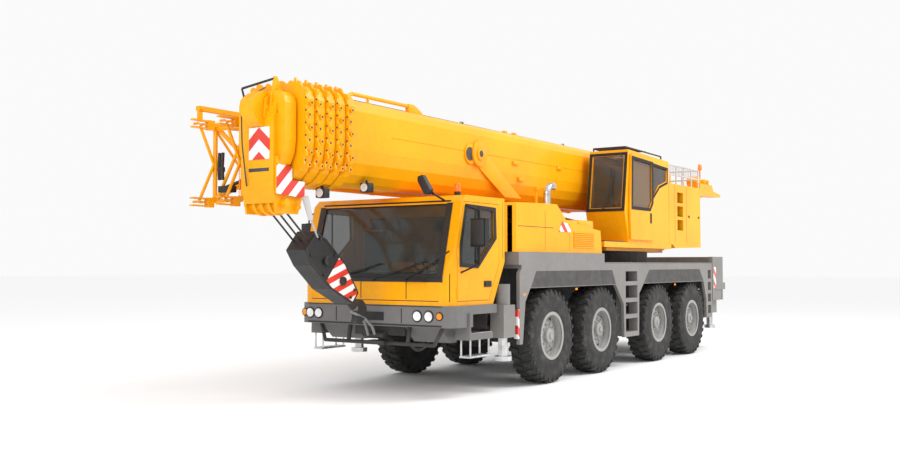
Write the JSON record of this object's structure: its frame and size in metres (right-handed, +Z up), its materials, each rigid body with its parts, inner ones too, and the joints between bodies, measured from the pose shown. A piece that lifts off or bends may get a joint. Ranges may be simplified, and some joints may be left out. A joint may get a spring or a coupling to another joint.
{
  "type": "four-axle mobile crane",
  "caption": "Mobile crane: long yellow carrier on steered wheels, slewing upper works with operator's cab, stowed telescopic boom, side lattice jib and hook block slung to the front bumper",
  "frame": {"origin": "on the ground at the middle of the machine's overall length and width", "axes": "+Z up, -Y towards the vehicle's front, +X towards its left side"},
  "size_m": [3.12, 12.38, 3.895],
  "materials": {
    "crane_yellow": "gloss",
    "frame_grey": "satin",
    "bumper_grey": "satin",
    "chassis_dark": "matte",
    "tyre_rubber": "matte",
    "bright_steel": "satin",
    "block_black": "satin",
    "seat_cloth": "matte"
  },
  "bodies": {
    "carrier": {"carrier_frame": "chassis_dark", "deck": "frame_grey", "rear_bulkhead": "frame_grey", "driver_cab": "crane_yellow", "cab_interior": "seat_cloth", "front_bumper": "bumper_grey", "engine_cover": "crane_yellow", "engine_block": "chassis_dark", "left_fairing": "frame_grey", "right_fairing": "frame_grey", "axle_1": "chassis_dark", "axle_2": "chassis_dark", "axle_3": "chassis_dark", "axle_4": "chassis_dark", "slewing_ring": "chassis_dark"},
    "hub_1_left": {"knuckle_1_left": "chassis_dark"},
    "tyre_1_left": {"wheel_1_left": "tyre_rubber"},
    "hub_1_right": {"knuckle_1_right": "chassis_dark"},
    "tyre_1_right": {"wheel_1_right": "tyre_rubber"},
    "hub_2_left": {"knuckle_2_left": "chassis_dark"},
    "tyre_2_left": {"wheel_2_left": "tyre_rubber"},
    "hub_2_right": {"knuckle_2_right": "chassis_dark"},
    "tyre_2_right": {"wheel_2_right": "tyre_rubber"},
    "hub_3_left": {"knuckle_3_left": "chassis_dark"},
    "tyre_3_left": {"wheel_3_left": "tyre_rubber"},
    "hub_3_right": {"knuckle_3_right": "chassis_dark"},
    "tyre_3_right": {"wheel_3_right": "tyre_rubber"},
    "hub_4_left": {"knuckle_4_left": "chassis_dark"},
    "tyre_4_left": {"wheel_4_left": "tyre_rubber"},
    "hub_4_right": {"knuckle_4_right": "chassis_dark"},
    "tyre_4_right": {"wheel_4_right": "tyre_rubber"},
    "left_door_body": {"left_cab_door": "crane_yellow"},
    "front_left_beam": {"front_left_outrigger": "frame_grey"},
    "front_left_leg": {"front_left_jack": "bright_steel"},
    "rear_left_beam": {"rear_left_outrigger": "frame_grey"},
    "rear_left_leg": {"rear_left_jack": "bright_steel"},
    "right_door_body": {"right_cab_door": "crane_yellow"},
    "front_right_beam": {"front_right_outrigger": "frame_grey"},
    "front_right_leg": {"front_right_jack": "bright_steel"},
    "rear_right_beam": {"rear_right_outrigger": "frame_grey"},
    "rear_right_leg": {"rear_right_jack": "bright_steel"},
    "upperworks": {"slewing_frame": "crane_yellow", "operator_cab": "crane_yellow", "operator_seat": "seat_cloth", "side_housing": "crane_yellow"},
    "sliding_door": {"operator_door": "crane_yellow"},
    "winch": {"hoist_winch": "bright_steel"},
    "boom": {"boom_base": "crane_yellow", "cylinder_lugs": "crane_yellow", "folding_jib": "crane_yellow"},
    "luffing_cylinder": {"luffing_barrel": "crane_yellow"},
    "luffing_piston": {"luffing_rod": "bright_steel"},
    "boom_section_1": {"telescope_1": "crane_yellow"},
    "boom_section_2": {"telescope_2": "crane_yellow"},
    "boom_section_3": {"telescope_3": "crane_yellow"},
    "boom_section_4": {"telescope_4": "crane_yellow"},
    "boom_section_5": {"telescope_5": "crane_yellow", "head_sheaves": "crane_yellow"},
    "rope_block": {"hook_block": "block_black"},
    "swivel_hook": {"crane_hook": "block_black"}
  },
  "joints": [
    {"name": "steer_1_left", "type": "hinge", "parent": "carrier", "child": "hub_1_left", "pos_m": [0.93, -1.44, 0.685], "axis": [0, 0, 1], "range_deg": [-38, 38]},
    {"name": "roll_1_left", "type": "hinge", "parent": "hub_1_left", "child": "tyre_1_left", "pos_m": [1.1875, -1.44, 0.685], "axis": [1, 0, 0], "continuous": true},
    {"name": "steer_1_right", "type": "hinge", "parent": "carrier", "child": "hub_1_right", "pos_m": [-0.93, -1.44, 0.685], "axis": [0, 0, 1], "range_deg": [-38, 38]},
    {"name": "roll_1_right", "type": "hinge", "parent": "hub_1_right", "child": "tyre_1_right", "pos_m": [-1.1875, -1.44, 0.685], "axis": [1, 0, 0], "continuous": true},
    {"name": "steer_2_left", "type": "hinge", "parent": "carrier", "child": "hub_2_left", "pos_m": [0.93, 0.21, 0.685], "axis": [0, 0, 1], "range_deg": [-26, 26]},
    {"name": "roll_2_left", "type": "hinge", "parent": "hub_2_left", "child": "tyre_2_left", "pos_m": [1.1875, 0.21, 0.685], "axis": [1, 0, 0], "continuous": true},
    {"name": "steer_2_right", "type": "hinge", "parent": "carrier", "child": "hub_2_right", "pos_m": [-0.93, 0.21, 0.685], "axis": [0, 0, 1], "range_deg": [-26, 26]},
    {"name": "roll_2_right", "type": "hinge", "parent": "hub_2_right", "child": "tyre_2_right", "pos_m": [-1.1875, 0.21, 0.685], "axis": [1, 0, 0], "continuous": true},
    {"name": "steer_3_left", "type": "hinge", "parent": "carrier", "child": "hub_3_left", "pos_m": [0.93, 2.56, 0.685], "axis": [0, 0, 1], "range_deg": [-12, 12]},
    {"name": "roll_3_left", "type": "hinge", "parent": "hub_3_left", "child": "tyre_3_left", "pos_m": [1.1875, 2.56, 0.685], "axis": [1, 0, 0], "continuous": true},
    {"name": "steer_3_right", "type": "hinge", "parent": "carrier", "child": "hub_3_right", "pos_m": [-0.93, 2.56, 0.685], "axis": [0, 0, 1], "range_deg": [-12, 12]},
    {"name": "roll_3_right", "type": "hinge", "parent": "hub_3_right", "child": "tyre_3_right", "pos_m": [-1.1875, 2.56, 0.685], "axis": [1, 0, 0], "continuous": true},
    {"name": "steer_4_left", "type": "hinge", "parent": "carrier", "child": "hub_4_left", "pos_m": [0.93, 4.21, 0.685], "axis": [0, 0, 1], "range_deg": [-25, 25]},
    {"name": "roll_4_left", "type": "hinge", "parent": "hub_4_left", "child": "tyre_4_left", "pos_m": [1.1875, 4.21, 0.685], "axis": [1, 0, 0], "continuous": true},
    {"name": "steer_4_right", "type": "hinge", "parent": "carrier", "child": "hub_4_right", "pos_m": [-0.93, 4.21, 0.685], "axis": [0, 0, 1], "range_deg": [-25, 25]},
    {"name": "roll_4_right", "type": "hinge", "parent": "hub_4_right", "child": "tyre_4_right", "pos_m": [-1.1875, 4.21, 0.685], "axis": [1, 0, 0], "continuous": true},
    {"name": "left_cab_door_hinge", "type": "hinge", "parent": "carrier", "child": "left_door_body", "pos_m": [1.25, -3.743, 1.9], "axis": [0, 0, -1], "range_deg": [0, 75]},
    {"name": "front_left_extend", "type": "slide", "parent": "carrier", "child": "front_left_beam", "axis": [1, 0, 0], "range_m": [0, 1.8]},
    {"name": "front_left_lower", "type": "slide", "parent": "front_left_beam", "child": "front_left_leg", "axis": [0, 0, -1], "range_m": [0, 0.41]},
    {"name": "rear_left_extend", "type": "slide", "parent": "carrier", "child": "rear_left_beam", "axis": [1, 0, 0], "range_m": [0, 1.8]},
    {"name": "rear_left_lower", "type": "slide", "parent": "rear_left_beam", "child": "rear_left_leg", "axis": [0, 0, -1], "range_m": [0, 0.41]},
    {"name": "right_cab_door_hinge", "type": "hinge", "parent": "carrier", "child": "right_door_body", "pos_m": [-1.25, -3.743, 1.9], "axis": [0, 0, 1], "range_deg": [0, 75]},
    {"name": "front_right_extend", "type": "slide", "parent": "carrier", "child": "front_right_beam", "axis": [-1, 0, 0], "range_m": [0, 1.8]},
    {"name": "front_right_lower", "type": "slide", "parent": "front_right_beam", "child": "front_right_leg", "axis": [0, 0, -1], "range_m": [0, 0.41]},
    {"name": "rear_right_extend", "type": "slide", "parent": "carrier", "child": "rear_right_beam", "axis": [-1, 0, 0], "range_m": [0, 1.8]},
    {"name": "rear_right_lower", "type": "slide", "parent": "rear_right_beam", "child": "rear_right_leg", "axis": [0, 0, -1], "range_m": [0, 0.41]},
    {"name": "slewing", "type": "hinge", "parent": "carrier", "child": "upperworks", "pos_m": [0, 2.71, 1.95], "axis": [0, 0, 1], "continuous": true},
    {"name": "operator_door_slide", "type": "slide", "parent": "upperworks", "child": "sliding_door", "axis": [0, 1, 0], "range_m": [0, 0.75]},
    {"name": "winch_turn", "type": "hinge", "parent": "upperworks", "child": "winch", "pos_m": [0, 4.51, 2.38], "axis": [1, 0, 0], "continuous": true},
    {"name": "luffing", "type": "hinge", "parent": "upperworks", "child": "boom", "pos_m": [0, 5.51, 3.15], "axis": [-1, 0, 0], "range_deg": [0, 82]},
    {"name": "luffing_barrel_swing", "type": "hinge", "parent": "upperworks", "child": "luffing_cylinder", "pos_m": [0, 3.36, 2.26], "axis": [-1, 0, 0], "range_deg": [0, 91.97]},
    {"name": "luffing_rod_stroke", "type": "slide", "parent": "luffing_cylinder", "child": "luffing_piston", "axis": [0, -0.9969, 0.0787], "range_m": [0, 2.9316]},
    {"name": "telescope_1_slide", "type": "slide", "parent": "boom", "child": "boom_section_1", "axis": [0, -1, 0], "range_m": [0, 7.7]},
    {"name": "telescope_2_slide", "type": "slide", "parent": "boom_section_1", "child": "boom_section_2", "axis": [0, -1, 0], "range_m": [0, 7.7]},
    {"name": "telescope_3_slide", "type": "slide", "parent": "boom_section_2", "child": "boom_section_3", "axis": [0, -1, 0], "range_m": [0, 7.7]},
    {"name": "telescope_4_slide", "type": "slide", "parent": "boom_section_3", "child": "boom_section_4", "axis": [0, -1, 0], "range_m": [0, 7.7]},
    {"name": "telescope_5_slide", "type": "slide", "parent": "boom_section_4", "child": "boom_section_5", "axis": [0, -1, 0], "range_m": [0, 7.7]},
    {"name": "hook_block_swing", "type": "hinge", "parent": "boom_section_5", "child": "rope_block", "pos_m": [0, -5.8, 2.44], "axis": [-1, 0, 0], "range_deg": [-33, 0]},
    {"name": "hook_swivel", "type": "hinge", "parent": "rope_block", "child": "swivel_hook", "pos_m": [0, -4.42081, 1.28273], "axis": [0, 0.766, -0.6428], "continuous": true}
  ],
  "couplings": [
    {"joint": "steer_1_right", "follows": "steer_1_left", "ratio": 1},
    {"joint": "steer_2_left", "follows": "steer_1_left", "ratio": 0.68},
    {"joint": "steer_2_right", "follows": "steer_1_left", "ratio": 0.68},
    {"joint": "steer_3_left", "follows": "steer_4_left", "ratio": 0.45},
    {"joint": "steer_3_right", "follows": "steer_4_left", "ratio": 0.45},
    {"joint": "steer_4_right", "follows": "steer_4_left", "ratio": 1},
    {"joint": "luffing_barrel_swing", "follows": "luffing", "ratio": 1.1191},
    {"joint": "luffing_rod_stroke", "follows": "luffing", "m_per_rad": 2.0463},
    {"joint": "hook_block_swing", "follows": "luffing", "ratio": -0.39}
  ]
}
